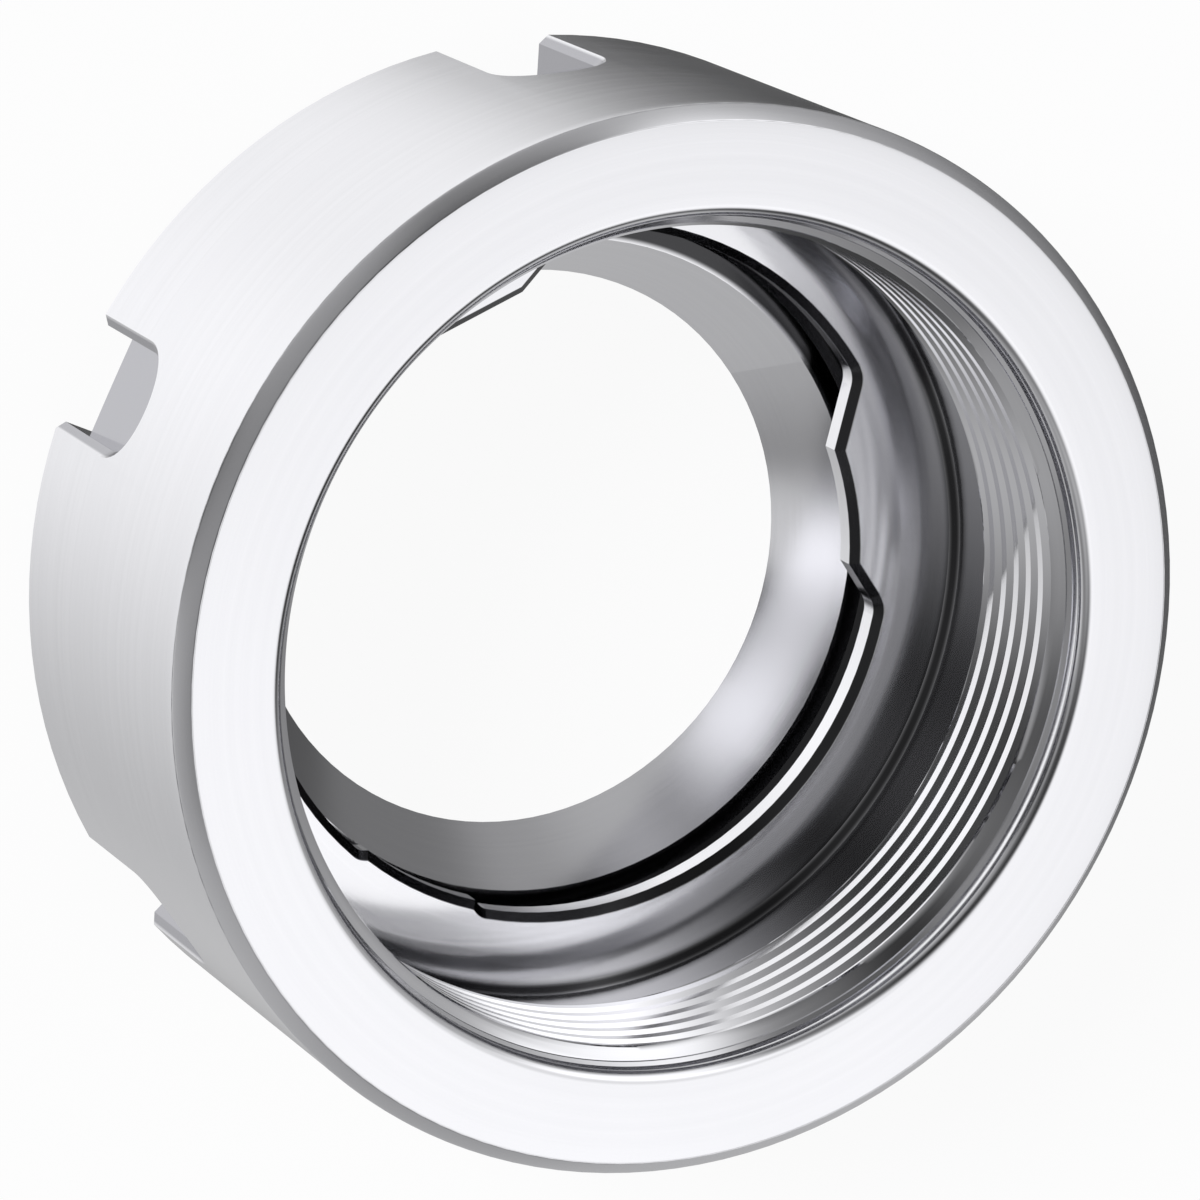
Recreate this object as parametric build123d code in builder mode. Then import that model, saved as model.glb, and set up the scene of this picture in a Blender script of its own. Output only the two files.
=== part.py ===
from build123d import *
import os
from math import atan2, cos, degrees, hypot, radians, sin, tan

# Collet nut, one turned and milled piece. Millimetres, +Z along the axis.
# The nut stands on its slotted front face at Z = 0, with the threaded mouth on top,
# and the X axis runs through the middle of one spanner slot.

# Bore at the threaded end. The bore is drawn at the root of the thread.
thread_diameter = 50.0
thread_length = 9.0
mouth_clearance = 0.2
mouth_depth = 1.3
mouth_rounding = 0.7
relief_depth = 0.3
relief_width = 5.6
relief_corner_chamfer = 0.5

# Body
wall_thickness = 6.5
rim_chamfer = 0.85
front_bevel_width = 3.6
front_bevel_height = 1.0

# Shoulder, extraction lip and the groove behind the lip
shoulder_width = 3.6
lip_thickness = 1.7
lip_chamfer = 0.52
groove_width = 2.2
groove_corner_chamfer = 0.5
ledge_width = 1.66

# Conical seat and the front opening
seat_half_angle = 30.0
seat_height = 5.0

# Outline of the lip: three tabs with hollows between them. Reaches are measured inwards
# from the floor of the groove, and each tab is followed by the hollow of the same place.
tab_angles = (-25.0, 78.4, 206.2)
tab_reaches = (3.4, 3.52, 1.7)
tab_ends = ("round", "flat", "round")
tab_foot_radii = (1.5, 1.5, 0.8)
hollow_reaches = (0.35, 1.35, 1.3)
tab_half_width = 11.5
flank_slope = 66.0
milling_allowance = 1.0

# Spanner slots
slot_count = 6
slot_width = 6.1
slot_depth = 2.7
slot_length = 11.45
slot_edge_chamfer = 0.55

# Radii
thread_radius = thread_diameter / 2
mouth_radius = thread_radius + mouth_clearance
relief_radius = thread_radius + relief_depth
outer_radius = thread_radius + wall_thickness
groove_radius = relief_radius - shoulder_width
seat_radius = groove_radius - ledge_width
opening_radius = seat_radius - seat_height * tan(radians(seat_half_angle))
turned_lip_radius = groove_radius - max(tab_reaches) - milling_allowance
slot_floor_radius = outer_radius - slot_depth

# Heights above the front face
lip_underside = seat_height + groove_width
shoulder_height = lip_underside + lip_thickness
relief_top = shoulder_height + relief_width
thread_top = relief_top + thread_length
mouth_floor = thread_top + mouth_clearance
nut_length = mouth_floor + mouth_depth


def on_circle(radius, angle):
    """Point at this radius and this angle in degrees about the axis."""
    return Vector(radius * cos(radians(angle)), radius * sin(radians(angle)))


def flank_foot(angle, side, reach, hollow_reach):
    """Angle about the axis where one flank of a tab meets the hollow beside it."""
    corner = on_circle(groove_radius - reach, angle + side * tab_half_width)
    slope = on_circle(1, angle + side * flank_slope)
    along = corner.dot(slope)
    room = (groove_radius - hollow_reach) ** 2 - (groove_radius - reach) ** 2
    foot = corner + slope * ((along**2 + room) ** 0.5 - along)
    return degrees(atan2(foot.Y, foot.X))


with BuildPart() as nut_body:
    # Half section, turned about the axis
    with BuildSketch(Plane.XZ) as section:
        with BuildLine():
            Polyline(
                (opening_radius, 0),
                (outer_radius - front_bevel_width, 0),
                (outer_radius, front_bevel_height),
                (outer_radius, nut_length),
                (mouth_radius, nut_length),
                (mouth_radius, mouth_floor),
                (thread_radius, thread_top),
                (thread_radius, relief_top),
                (relief_radius, relief_top - relief_depth),
                (relief_radius, shoulder_height),
                (turned_lip_radius, shoulder_height),
                (turned_lip_radius, lip_underside),
                (groove_radius, lip_underside),
                (groove_radius, seat_height),
                (seat_radius, seat_height),
                close=True,
            )
        make_face()
        for corner, width in (
            ((relief_radius, shoulder_height), relief_corner_chamfer),
            ((groove_radius, seat_height), groove_corner_chamfer),
            ((outer_radius, nut_length), rim_chamfer),
        ):
            chamfer(section.vertices().sort_by_distance(corner)[0], width)
        fillet(section.vertices().sort_by_distance((mouth_radius, nut_length))[0], mouth_rounding)
    revolve(axis=Axis.Z)

    # The turned lip is milled out to leave its tabs, one with a flat end.
    with BuildSketch(Plane.XY.offset(lip_underside)) as lip_outline:
        feet = []
        with BuildLine():
            for place, angle in enumerate(tab_angles):
                reach = tab_reaches[place]
                before = flank_foot(angle, -1, reach, hollow_reaches[place - 1])
                after = flank_foot(angle, 1, reach, hollow_reaches[place])
                first_foot = on_circle(groove_radius - hollow_reaches[place - 1], before)
                last_foot = on_circle(groove_radius - hollow_reaches[place], after)
                first_corner = on_circle(groove_radius - reach, angle - tab_half_width)
                last_corner = on_circle(groove_radius - reach, angle + tab_half_width)
                Line(first_foot, first_corner)
                if tab_ends[place] == "flat":
                    Line(first_corner, last_corner)
                else:
                    CenterArc((0, 0), groove_radius - reach, angle - tab_half_width, 2 * tab_half_width)
                Line(last_corner, last_foot)
                # The hollow runs on as far as the next tab.
                next_place = (place + 1) % len(tab_angles)
                next_before = flank_foot(
                    tab_angles[next_place], -1, tab_reaches[next_place], hollow_reaches[place]
                )
                CenterArc(
                    (0, 0), groove_radius - hollow_reaches[place], after, (next_before - after) % 360
                )
                feet.append((first_foot, tab_foot_radii[place]))
                feet.append((last_foot, tab_foot_radii[place]))
        make_face()
        for foot, radius in feet:
            fillet(lip_outline.vertices().sort_by_distance(foot)[0], radius)
    extrude(amount=lip_thickness, mode=Mode.SUBTRACT)
    lip_edges = (
        nut_body.edges()
        .filter_by_position(Axis.Z, shoulder_height - 0.01, shoulder_height + 0.01)
        .filter_by(lambda edge: hypot((edge @ 0.5).X, (edge @ 0.5).Y) < groove_radius)
    )
    chamfer(lip_edges, lip_chamfer)

    # Spanner slots, open to the front face, with a full round end
    for place in range(slot_count):
        outward = on_circle(1, 360 * place / slot_count)
        across = outward.rotate(Axis.Z, 90)
        with BuildSketch(Plane(outward * slot_floor_radius, x_dir=across, z_dir=outward)):
            with Locations((0, (slot_length - slot_width / 2) / 2)):
                Rectangle(slot_width, slot_length - slot_width / 2)
            with Locations((0, slot_length - slot_width / 2)):
                Circle(slot_width / 2)
        extrude(amount=2 * slot_depth, mode=Mode.SUBTRACT)
    slot_edges = (
        nut_body.faces()
        .filter_by(GeomType.CYLINDER)
        .filter_by(lambda face: abs(face.radius - outer_radius) < 0.001)
        .edges()
        .filter_by(lambda edge: (edge @ 0.5).Z < slot_length + 0.01)
        .filter_by(lambda edge: (edge @ 0.5).Z > front_bevel_height + 0.01)
    )
    chamfer(slot_edges, slot_edge_chamfer)

nut_body.part.label = "nut_body"
os.makedirs("parts", exist_ok=True)
export_step(nut_body.part, "parts/nut_body.step")
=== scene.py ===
from math import cos, pi, radians, sin

import bmesh
import bpy
from mathutils import Matrix, Vector


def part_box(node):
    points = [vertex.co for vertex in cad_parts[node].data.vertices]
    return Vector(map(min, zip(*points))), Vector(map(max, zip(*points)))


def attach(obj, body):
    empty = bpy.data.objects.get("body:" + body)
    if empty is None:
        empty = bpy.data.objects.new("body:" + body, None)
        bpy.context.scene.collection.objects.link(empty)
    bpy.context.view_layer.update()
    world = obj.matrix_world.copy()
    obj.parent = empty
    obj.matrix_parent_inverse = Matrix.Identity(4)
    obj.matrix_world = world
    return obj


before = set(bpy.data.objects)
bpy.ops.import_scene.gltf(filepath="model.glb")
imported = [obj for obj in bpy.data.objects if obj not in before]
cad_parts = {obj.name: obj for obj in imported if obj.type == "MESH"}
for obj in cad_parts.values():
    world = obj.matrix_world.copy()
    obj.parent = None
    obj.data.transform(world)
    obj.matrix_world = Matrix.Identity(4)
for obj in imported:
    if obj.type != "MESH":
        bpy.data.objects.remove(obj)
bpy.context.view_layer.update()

# Collet nut of ground steel. Metres, standing on its slotted face with the thread on top.
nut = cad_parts["nut_body"]
_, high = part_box("nut_body")
nut_height = high[2]
outer_radius = high[0]

# The threaded end of the CAD body
mouth_radius = 0.0252
mouth_floor = 0.0237
mouth_chamfer = 0.0002
mouth_rounding = 0.0007
rim_chamfer = 0.00085

# Thread, as ridges that stand in the plain bore of the CAD body
root_radius = 0.02495
crest_radius = 0.02419
pitch = 0.0015
crest_flat = 0.0006
root_flat = 0.00002
thread_bottom = 0.0145
thread_mouth = 0.0228
entry_slope = 1.26
exit_slope = 0.9
buried_depth = 0.0004
ridge_rounding = 0.0001
thread_columns = 360
flank_parts = 10
crest_parts = 4
spare_turns = 2
least_face_height = 1e-9

# Surface over the mouth, the end face and the rim, which lies this much proud of the CAD body
mouth_cover = 0.00004
thin_cover = 0.00001
foot_overlap = 0.00003
foot_drop = 0.00032
rim_softness = 0.0001
face_columns = 576
rounding_parts = 14
quarters = (0.25, 0.5, 0.75)

# Both added surfaces
weld_distance = 1e-7
sharp_angle = 0.35

# Finish of the steel. Each pair of radii or heights says where a zone begins and where it is
# full, and each set of marks is the scale, detail and roughness of a noise.
outside_radii = (0.0305, 0.0312)
end_heights = (0.0243, 0.0249)
end_radii = (0.0255, 0.0262)
# Zones that get painted shade: the groove behind the lip, the crease at the foot of the relief,
# the lip's milled edge and the relief's wall
groove_inner = (0.0200, 0.0204)
groove_outer = (0.0225, 0.0223)
groove_top = (0.0072, 0.0070)
crease_radius = 0.02505
crease_height = 0.00915
crease_reach = (0.0007, 0.0001)
lip_edge_foot = (0.00837, 0.00841)
lip_edge_top = (0.00888, 0.00884)
lip_edge_outer = (0.0222, 0.0219)
relief_inner = (0.02515, 0.02525)
relief_outer = (0.0262, 0.0258)
relief_top = (0.0146, 0.0141)
slot_inner = (0.0282, 0.0285)
slot_outer = (0.03145, 0.0313)
slot_top = (0.0120, 0.0118)
coarse_marks = (2200.0, 3.0, 0.65)
fine_marks = (9000.0, 2.0, 0.6)
cloud_marks = (90.0, 3.0, 0.6)
darker_steel = (0.83, 0.83, 0.86, 1.0)
brighter_steel = (0.90, 0.90, 0.93, 1.0)
# Near-black painted shade for the groove, the crease and the lip's edge, and a lighter painted
# shade on the relief's wall
painted_shade_colour = (0.02, 0.02, 0.022, 1.0)
slot_colour = (0.46, 0.46, 0.49, 1.0)
painted_shade_strength = 0.95
relief_painted_shade_strength = 0.5
body_roughness = 0.06
thread_roughness = 0.03
mark_roughness = 0.06
outside_roughness = 0.10
cloud_roughness = 0.06
end_roughness = 0.06
fine_share = 0.5
grain_height = 0.45
end_grain_change = -0.25
grain_strength = 0.07
grain_distance = 0.00001

# Floor and light, with angles in degrees
white = (1.0, 1.0, 1.0, 1.0)
floor_colour = (0.85, 0.85, 0.86, 1.0)
floor_glow = 0.93
floor_half = 3.0
floor_drop = 0.00005
floor_light = 0.45
backdrop_light = 1.0
lamp_strength = 2.2
lamp_width = 20
lamp_azimuth = 115
lamp_elevation = 38

# Softboxes and dark flags of the studio round the nut: azimuth, elevation, brightness
sky_zones = (
    (0, -61, 0.18), (36, -61, 1.1), (72, -61, 0.95), (108, -61, 1.12), (144, -61, 1.0),
    (180, -61, 0.7), (216, -61, 0.46), (252, -61, 0.64), (288, -61, 0.23), (324, -61, 0.0),
    (0, -25, 0.18), (45, -25, 0.31), (90, -25, 0.26), (135, -25, 0.25), (180, -25, 0.1),
    (225, -25, 0.47), (270, -25, 0.47), (315, -25, 0.1), (15, 5, 0.33), (55, 5, 0.46),
    (95, 5, 0.5), (130, 5, 0.02), (160, 5, 0.63), (195, 5, 0.47), (235, 5, 0.36), (280, 5, 0.58),
    (325, 5, 0.26), (20, 27, 1.18), (60, 27, 0.12), (100, 27, 0.32), (140, 27, 0.35),
    (170, 27, 0.2), (200, 27, 0.34), (240, 27, 0.03), (290, 27, 0.0), (335, 27, 0.42),
    (15, 50, 1.55), (45, 50, 0.25), (80, 50, 0.0), (115, 50, 0.14), (145, 50, 0.0),
    (170, 50, 0.34), (195, 50, 0.55), (225, 50, 0.13), (262, 60, 1.0), (285, 60, 1.4),
    (305, 60, 0.75), (335, 60, 0.8), (20, 72, 1.15), (75, 72, 0.0), (130, 72, 0.04),
    (185, 72, 0.0), (235, 72, 0.99),
)
zone_focus = 36.0

# Camera, fitted to the outlines of the nut
camera_lens = 190.38
sensor_width = 36.0
nearest_seen = 0.01
farthest_seen = 20.0
camera_place = (-0.070734, 0.165423, 0.338428)
camera_right = (0.758373, -0.500193, 0.417944)
camera_up = (0.623660, 0.743248, -0.242137)
camera_back = (-0.189520, 0.444286, 0.875610)


def new_group(name, **outputs):
    """An empty node group with these outputs, and its output node."""
    group = bpy.data.node_groups.new(name, "ShaderNodeTree")
    for label, kind in outputs.items():
        group.interface.new_socket(label, in_out="OUTPUT", socket_type=kind)
    return group, group.nodes.new("NodeGroupOutput")


class Nodes:
    """Short ways to add nodes to one tree."""

    def __init__(self, tree):
        self.tree = tree

    def add(self, kind, **settings):
        """A new node of this kind."""
        node = self.tree.nodes.new(kind)
        for key, value in settings.items():
            setattr(node, key, value)
        return node

    def link(self, source, target):
        """A link from an output to an input."""
        self.tree.links.new(source, target)

    def feed(self, socket, value):
        """Link an output to this input, or set the input to a constant."""
        if isinstance(value, bpy.types.NodeSocket):
            self.link(value, socket)
        else:
            socket.default_value = value

    def math(self, operation, *values):
        """Result of this operation on one to three values."""
        node = self.add("ShaderNodeMath", operation=operation)
        for socket, value in zip(node.inputs, values):
            self.feed(socket, value)
        return node.outputs[0]

    def diagonal(self, first, second):
        """Length of the diagonal over two sides."""
        squares = [self.math("MULTIPLY", side, side) for side in (first, second)]
        return self.math("SQRT", self.math("ADD", *squares))

    def step(self, value, edge):
        """Smooth rise from 0 to 1 over this edge."""
        node = self.add("ShaderNodeMapRange", interpolation_type="SMOOTHSTEP")
        self.feed(node.inputs["Value"], value)
        self.feed(node.inputs["From Min"], edge[0])
        self.feed(node.inputs["From Max"], edge[1])
        return node.outputs["Result"]

    def within(self, first, *others):
        """Mask that is full where each value is past its own edge."""
        mask = self.step(*first)
        for limit in others:
            mask = self.math("MULTIPLY", mask, self.step(*limit))
        return mask

    def blend(self, share, first, second, kind="RGBA"):
        """Mix of two colours or values, with this share of the second."""
        node = self.add("ShaderNodeMix", data_type=kind)
        self.feed(node.inputs["Factor"], share)
        self.feed(node.inputs["A"], first)
        self.feed(node.inputs["B"], second)
        return node.outputs["Result"]

    def noise(self, vector, scale, detail, roughness, dimensions="3D"):
        """Level of a noise texture."""
        node = self.add("ShaderNodeTexNoise", noise_dimensions=dimensions)
        self.feed(node.inputs["Vector"], vector)
        self.feed(node.inputs["Scale"], scale)
        self.feed(node.inputs["Detail"], detail)
        self.feed(node.inputs["Roughness"], roughness)
        return node.outputs["Fac"]


def turned_position():
    """Radius, height and a vector of both, the same all round the axis."""
    group, out = new_group(
        "turned_position",
        radius="NodeSocketFloat",
        height="NodeSocketFloat",
        ring="NodeSocketVector",
    )
    make = Nodes(group)
    place = make.add("ShaderNodeTexCoord")
    split = make.add("ShaderNodeSeparateXYZ")
    make.link(place.outputs["Object"], split.inputs[0])
    radius = make.diagonal(split.outputs["X"], split.outputs["Y"])
    ring = make.add("ShaderNodeCombineXYZ")
    make.link(radius, ring.inputs["X"])
    make.link(split.outputs["Z"], ring.inputs["Y"])
    make.link(radius, out.inputs["radius"])
    make.link(split.outputs["Z"], out.inputs["height"])
    make.link(ring.outputs[0], out.inputs["ring"])
    return group


def lathe_marks(position_group):
    """Fine rings left by the cutting tool and the grinding wheel."""
    group, out = new_group("lathe_marks", coarse="NodeSocketFloat", fine="NodeSocketFloat")
    make = Nodes(group)
    turned = make.add("ShaderNodeGroup", node_tree=position_group)
    for label, marks in (("coarse", coarse_marks), ("fine", fine_marks)):
        make.link(make.noise(turned.outputs["ring"], *marks, "2D"), out.inputs[label])
    return group


def steel_material(name, position_group, marks_group, least_roughness):
    """Bright bare steel, turned and ground."""
    material = bpy.data.materials.new(name)
    material.use_nodes = True
    tree = material.node_tree
    make = Nodes(tree)
    shader = tree.nodes["Principled BSDF"]
    shader.inputs["Metallic"].default_value = 1.0
    turned = make.add("ShaderNodeGroup", node_tree=position_group)
    radius = turned.outputs["radius"]
    height = turned.outputs["height"]
    marks = make.add("ShaderNodeGroup", node_tree=marks_group)
    coarse = marks.outputs["coarse"]
    fine = marks.outputs["fine"]
    outside = make.step(radius, outside_radii)
    end = make.within((height, end_heights), (radius, end_radii))

    # The outside and the end face are satin, the bore is smoother.
    place = make.add("ShaderNodeTexCoord").outputs["Object"]
    cloud = make.noise(place, *cloud_marks)
    rough = make.math("MULTIPLY_ADD", coarse, mark_roughness, least_roughness)
    rough = make.math("MULTIPLY_ADD", outside, outside_roughness, rough)
    rough = make.math("MULTIPLY_ADD", cloud, cloud_roughness, rough)
    rough = make.math("MULTIPLY_ADD", end, end_roughness, rough)
    make.link(rough, shader.inputs["Roughness"])

    # The groove behind the lip, the lip's milled edge and the crease at the foot of the relief
    # get a painted shade, nearly black, and the relief's wall gets a lighter painted shade.
    groove = make.within((radius, groove_inner), (radius, groove_outer), (height, groove_top))
    from_crease = make.diagonal(
        make.math("SUBTRACT", radius, crease_radius),
        make.math("SUBTRACT", height, crease_height),
    )
    crease = make.step(from_crease, crease_reach)
    lip_edge = make.within(
        (height, lip_edge_foot), (height, lip_edge_top), (radius, lip_edge_outer)
    )
    relief = make.within((radius, relief_inner), (radius, relief_outer), (height, relief_top))
    painted_shade = make.math("MAXIMUM", make.math("MAXIMUM", groove, crease), lip_edge)
    painted_shade = make.math("MULTIPLY", painted_shade, painted_shade_strength)
    painted_shade = make.math("MAXIMUM", painted_shade, make.math("MULTIPLY", relief, relief_painted_shade_strength))
    colour = make.blend(coarse, darker_steel, brighter_steel)
    # The painted shade darkens the steel's colour in these zones.
    colour = make.blend(painted_shade, colour, painted_shade_colour)
    # The milled slots aren't ground, so they are greyer than the cylinder.
    slot = make.within((radius, slot_inner), (radius, slot_outer), (height, slot_top))
    colour = make.blend(slot, colour, slot_colour)
    make.link(colour, shader.inputs["Base Color"])

    grain = make.math("MULTIPLY_ADD", fine, fine_share, coarse)
    grain_share = make.math("MULTIPLY_ADD", end, end_grain_change, grain_height)
    bump = make.add("ShaderNodeBump")
    bump.inputs["Strength"].default_value = grain_strength
    bump.inputs["Distance"].default_value = grain_distance
    make.link(make.math("MULTIPLY", grain, grain_share), bump.inputs["Height"])
    make.link(bump.outputs["Normal"], shader.inputs["Normal"])
    return material


position_group = turned_position()
marks_group = lathe_marks(position_group)
ground_steel = steel_material("ground_steel", position_group, marks_group, body_roughness)
thread_steel = steel_material("thread_steel", position_group, marks_group, thread_roughness)

for entry in nut.material_slots:
    entry.material = ground_steel


def add_object(name, verts, faces, material):
    """A mesh of these faces, in the scene."""
    mesh = bpy.data.meshes.new(name)
    mesh.from_pydata(verts, [], faces)
    mesh.update()
    mesh.materials.append(material)
    piece = bpy.data.objects.new(name, mesh)
    bpy.context.scene.collection.objects.link(piece)
    return piece


def finish_surface(piece, facing):
    """Weld a turned surface, turn it to the side that facing gives, and shade it smooth."""
    work = bmesh.new()
    work.from_mesh(piece.data)
    loose = [vert for vert in work.verts if not vert.link_faces]
    bmesh.ops.delete(work, geom=loose, context="VERTS")
    bmesh.ops.remove_doubles(work, verts=work.verts, dist=weld_distance)
    bmesh.ops.recalc_face_normals(work, faces=work.faces)
    largest = max(work.faces, key=lambda face: face.calc_area())
    if largest.normal.dot(facing(largest.calc_center_median())) < 0:
        bmesh.ops.reverse_faces(work, faces=work.faces)
    for face in work.faces:
        face.smooth = True
    for edge in work.edges:
        edge.smooth = len(edge.link_faces) == 2 and edge.calc_face_angle(0) < sharp_angle
    work.to_mesh(piece.data)
    work.free()


def towards_axis(place):
    """The way from here to the nut's axis."""
    return Vector((-place.x, -place.y, 0))


def upwards(_):
    """Straight up, from everywhere."""
    return Vector((0, 0, 1))


def around(columns):
    """Each column's number and its angle about the axis."""
    return [(column, 2 * pi * column / columns) for column in range(columns)]


def on_circle(radius, angle, height):
    """Point at this radius, angle and height."""
    return (radius * cos(angle), radius * sin(angle), height)


def soft_max(first, second, width):
    """The larger of two lengths, with the step between them rounded over this width."""
    nearness = max(width - abs(first - second), 0.0)
    return max(first, second) + nearness * nearness / (4 * width)


def thread_profile():
    """Rise and radius along one turn: the root, a flank, the crest and the other flank."""
    flank = (pitch - crest_flat - root_flat) / 2
    depth = root_radius - crest_radius
    crest_start = root_flat + flank
    crest_end = crest_start + crest_flat
    profile = [(0.0, root_radius)]
    for part in range(flank_parts):
        rise = flank * part / flank_parts
        profile.append((root_flat + rise, root_radius - depth * part / flank_parts))
    for part in range(crest_parts):
        profile.append((crest_start + crest_flat * part / crest_parts, crest_radius))
    for part in range(flank_parts):
        rise = flank * part / flank_parts
        profile.append((crest_end + rise, crest_radius + depth * part / flank_parts))
    return profile


def bore_thread():
    """The helical ridges of the thread, cut back by the entry chamfer and at the relief."""
    profile = thread_profile()
    buried = root_radius + buried_depth
    lowest = thread_bottom - (buried - crest_radius) / exit_slope
    highest = thread_mouth + (buried - crest_radius) / entry_slope
    first_turn = int(lowest / pitch) - spare_turns
    last_turn = int(highest / pitch) + spare_turns
    per_turn = len(profile)
    rows = (last_turn - first_turn) * per_turn
    verts = []
    for column, angle in around(thread_columns):
        lift = pitch * (column / thread_columns)
        for turn in range(first_turn, last_turn):
            for rise, radius in profile:
                height = turn * pitch + lift + rise
                entry = crest_radius + (height - thread_mouth) * entry_slope
                run_out = crest_radius + (thread_bottom - height) * exit_slope
                radius = soft_max(radius, entry, ridge_rounding)
                radius = soft_max(radius, run_out, ridge_rounding)
                radius = min(radius, buried)
                height = min(max(height, lowest), highest)
                verts.append(on_circle(radius, angle, height))
    faces = []
    for column in range(thread_columns):
        after = (column + 1) % thread_columns
        # The last column joins the first one turn higher.
        shift = per_turn if after == 0 else 0
        for row in range(rows - 1 - shift):
            here = column * rows + row
            there = after * rows + row + shift
            corners = (here, here + 1, there + 1, there)
            heights = [verts[corner][2] for corner in corners]
            if max(heights) - min(heights) > least_face_height:
                faces.append(corners)
    piece = add_object("bore_thread", verts, faces, thread_steel)
    finish_surface(piece, towards_axis)
    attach(piece, "root")


bore_thread()


def soft_corner(before, corner, after):
    """A few points that round off this corner of an outline."""
    corner = Vector(corner)
    start = corner + (Vector(before) - corner).normalized() * rim_softness
    end = corner + (Vector(after) - corner).normalized() * rim_softness
    points = []
    for share in (0, *quarters, 1):
        points.append(tuple(start.lerp(corner, share).lerp(corner.lerp(end, share), share)))
    return points


def end_outline():
    """Radius and height from the thread's entry over the mouth and the flat ring to the rim."""
    mouth = mouth_radius - mouth_cover
    top = nut_height + thin_cover
    outside = outer_radius + thin_cover
    outline = [
        (root_radius - foot_overlap, mouth_floor - foot_drop),
        (root_radius, mouth_floor - mouth_chamfer),
        (mouth, mouth_floor),
        (mouth, nut_height - mouth_rounding),
    ]
    for part in range(1, rounding_parts + 1):
        turn = pi / 2 * part / rounding_parts
        outline.append((
            mouth_radius + mouth_rounding - (mouth_rounding + mouth_cover) * cos(turn),
            nut_height - mouth_rounding + (mouth_rounding + thin_cover) * sin(turn),
        ))
    inner_edge = mouth_radius + mouth_rounding
    outer_edge = outer_radius - rim_chamfer
    for share in quarters:
        outline.append((inner_edge + (outer_edge - inner_edge) * share, top))
    chamfer_top = (outer_edge, top)
    chamfer_foot = (outside, nut_height - rim_chamfer)
    below = (outside, nut_height - 2 * rim_chamfer)
    outline += soft_corner((inner_edge, top), chamfer_top, chamfer_foot)
    outline += soft_corner(chamfer_top, chamfer_foot, below)
    outline.append(below)
    return outline


def end_face():
    """The mouth, its rounded edge, the flat ring and the chamfered rim, as one turned surface."""
    outline = end_outline()
    rows = len(outline)
    verts = []
    faces = []
    for column, angle in around(face_columns):
        for radius, height in outline:
            verts.append(on_circle(radius, angle, height))
        here = column * rows
        after = (column + 1) % face_columns * rows
        for row in range(rows - 1):
            faces.append((here + row, after + row, after + row + 1, here + row + 1))
    piece = add_object("end_face", verts, faces, ground_steel)
    finish_surface(piece, upwards)
    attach(piece, "root")


end_face()


def floor_material():
    """Pale floor that the camera sees nearly as bright as the backdrop, with a faint shadow."""
    material = bpy.data.materials.new("pale_floor")
    material.use_nodes = True
    tree = material.node_tree
    tree.nodes.clear()
    make = Nodes(tree)
    out = make.add("ShaderNodeOutputMaterial")
    plain = make.add("ShaderNodeBsdfDiffuse")
    plain.inputs["Color"].default_value = floor_colour
    glow = make.add("ShaderNodeEmission")
    glow.inputs["Color"].default_value = white
    glow.inputs["Strength"].default_value = backdrop_light
    ray = make.add("ShaderNodeLightPath")
    mix = make.add("ShaderNodeMixShader")
    make.link(make.math("MULTIPLY", ray.outputs["Is Camera Ray"], floor_glow), mix.inputs[0])
    make.link(plain.outputs[0], mix.inputs[1])
    make.link(glow.outputs[0], mix.inputs[2])
    make.link(mix.outputs[0], out.inputs["Surface"])
    return material


def add_floor():
    """The floor that the nut stands on, which its steel doesn't mirror."""
    corners = [(-1, -1), (1, -1), (1, 1), (-1, 1)]
    verts = [(floor_half * x, floor_half * y, 0) for x, y in corners]
    floor = add_object("floor", verts, [(0, 1, 2, 3)], floor_material())
    floor.location.z = -floor_drop
    floor.visible_glossy = False


def direction(azimuth, elevation):
    """Unit vector that points this way, from angles in degrees."""
    across = cos(radians(elevation))
    return (
        across * cos(radians(azimuth)),
        across * sin(radians(azimuth)),
        sin(radians(elevation)),
    )


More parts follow.
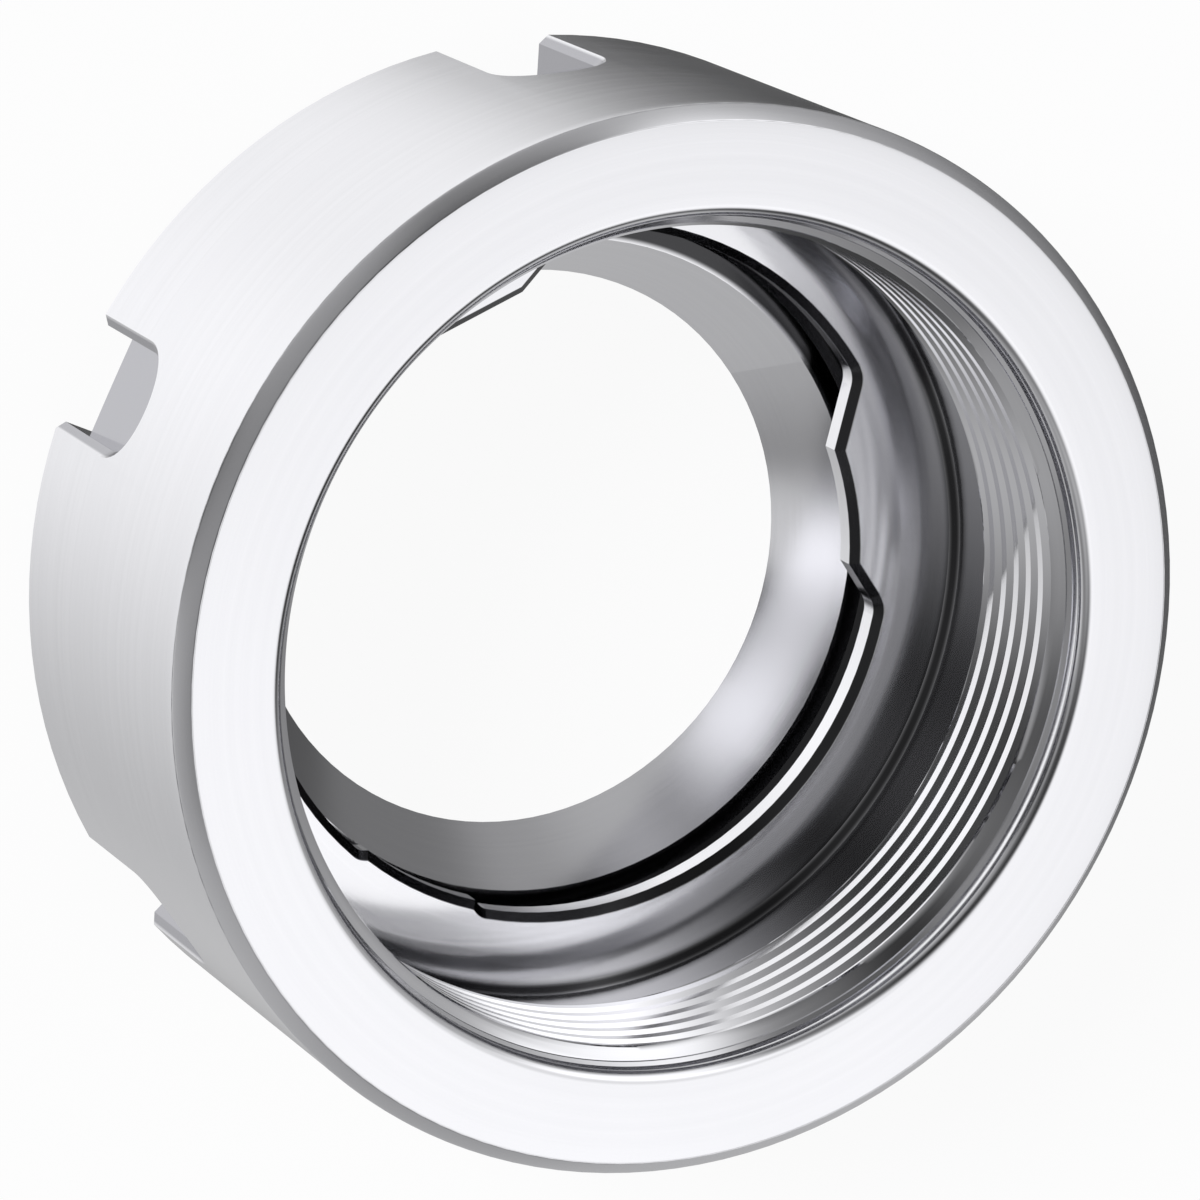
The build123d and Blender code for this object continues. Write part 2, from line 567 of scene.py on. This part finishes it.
def add_world():
    """The studio that the steel mirrors. The camera sees white, the floor gets an even grey."""
    world = bpy.data.worlds.new("studio")
    world.use_nodes = True
    world.cycles.sampling_method = "NONE"
    bpy.context.scene.world = world
    tree = world.node_tree
    tree.nodes.clear()
    make = Nodes(tree)
    out = make.add("ShaderNodeOutputWorld")
    sky = make.add("ShaderNodeBackground")
    where = make.add("ShaderNodeTexCoord").outputs["Generated"]
    total = 0.0
    shares = 0.0
    for azimuth, elevation, brightness in sky_zones:
        toward = make.add("ShaderNodeVectorMath", operation="DOT_PRODUCT")
        make.link(where, toward.inputs[0])
        toward.inputs[1].default_value = direction(azimuth, elevation)
        nearness = make.math("MULTIPLY", toward.outputs["Value"], zone_focus)
        share = make.math("EXPONENT", nearness)
        total = make.math("MULTIPLY_ADD", share, brightness, total)
        shares = make.math("ADD", share, shares)
    level = make.math("DIVIDE", total, shares)
    ray = make.add("ShaderNodeLightPath")
    level = make.blend(ray.outputs["Is Diffuse Ray"], level, floor_light, "FLOAT")
    level = make.blend(ray.outputs["Is Camera Ray"], level, backdrop_light, "FLOAT")
    make.link(level, sky.inputs["Color"])
    make.link(sky.outputs[0], out.inputs["Surface"])


def add_key_lamp():
    """Soft light from behind the camera's left, which lights the floor beside the nut."""
    lamp = bpy.data.lights.new("key_lamp", "SUN")
    lamp.energy = lamp_strength
    lamp.angle = radians(lamp_width)
    holder = bpy.data.objects.new("key_lamp", lamp)
    bpy.context.scene.collection.objects.link(holder)
    toward = Vector(direction(lamp_azimuth, lamp_elevation))
    holder.rotation_euler = toward.to_track_quat("Z", "Y").to_euler()
    holder.visible_glossy = False


def add_camera():
    """The camera of the photograph."""
    data = bpy.data.cameras.new("camera")
    data.sensor_fit = "HORIZONTAL"
    data.sensor_width = sensor_width
    data.lens = camera_lens
    data.clip_start = nearest_seen
    data.clip_end = farthest_seen
    camera = bpy.data.objects.new("camera", data)
    bpy.context.scene.collection.objects.link(camera)
    turn = Matrix((camera_right, camera_up, camera_back)).transposed().to_4x4()
    camera.matrix_world = Matrix.Translation(camera_place) @ turn
    bpy.context.scene.camera = camera


add_floor()
add_world()
add_key_lamp()
add_camera()
bpy.context.scene.view_settings.view_transform = "Standard"
